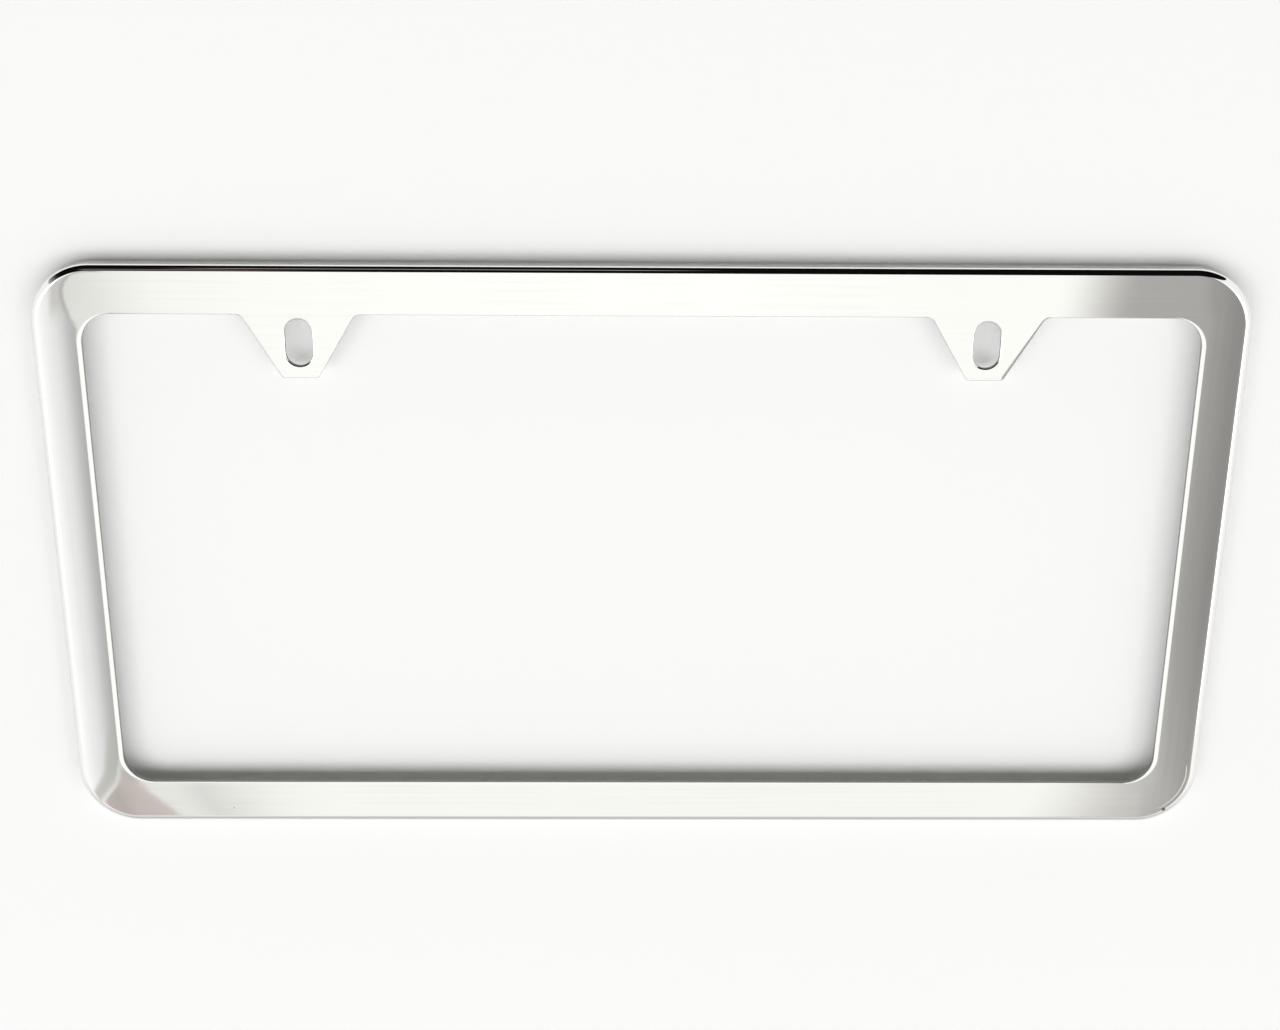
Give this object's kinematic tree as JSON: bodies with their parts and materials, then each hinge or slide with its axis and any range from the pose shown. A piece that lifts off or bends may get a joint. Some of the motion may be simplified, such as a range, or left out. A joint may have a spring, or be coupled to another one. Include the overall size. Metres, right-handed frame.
{
  "type": "number plate holder",
  "caption": "Pressed stainless number plate holder: thin flat face with a wide window, shallow skirt behind it, and hanging tabs with upright slots for the plate's screws.",
  "frame": {"origin": "middle of the outline, in the plane of the skirt's back rim", "axes": "+X to the right and +Y towards the edge with the tabs, seen from the front; +Z out of the polished face"},
  "size_m": [0.315, 0.1616, 0.0063],
  "materials": {
    "polished_steel": "mirror-polished stainless steel, bare"
  },
  "bodies": {
    "root": {"holder": "polished_steel"}
  },
  "joints": []
}
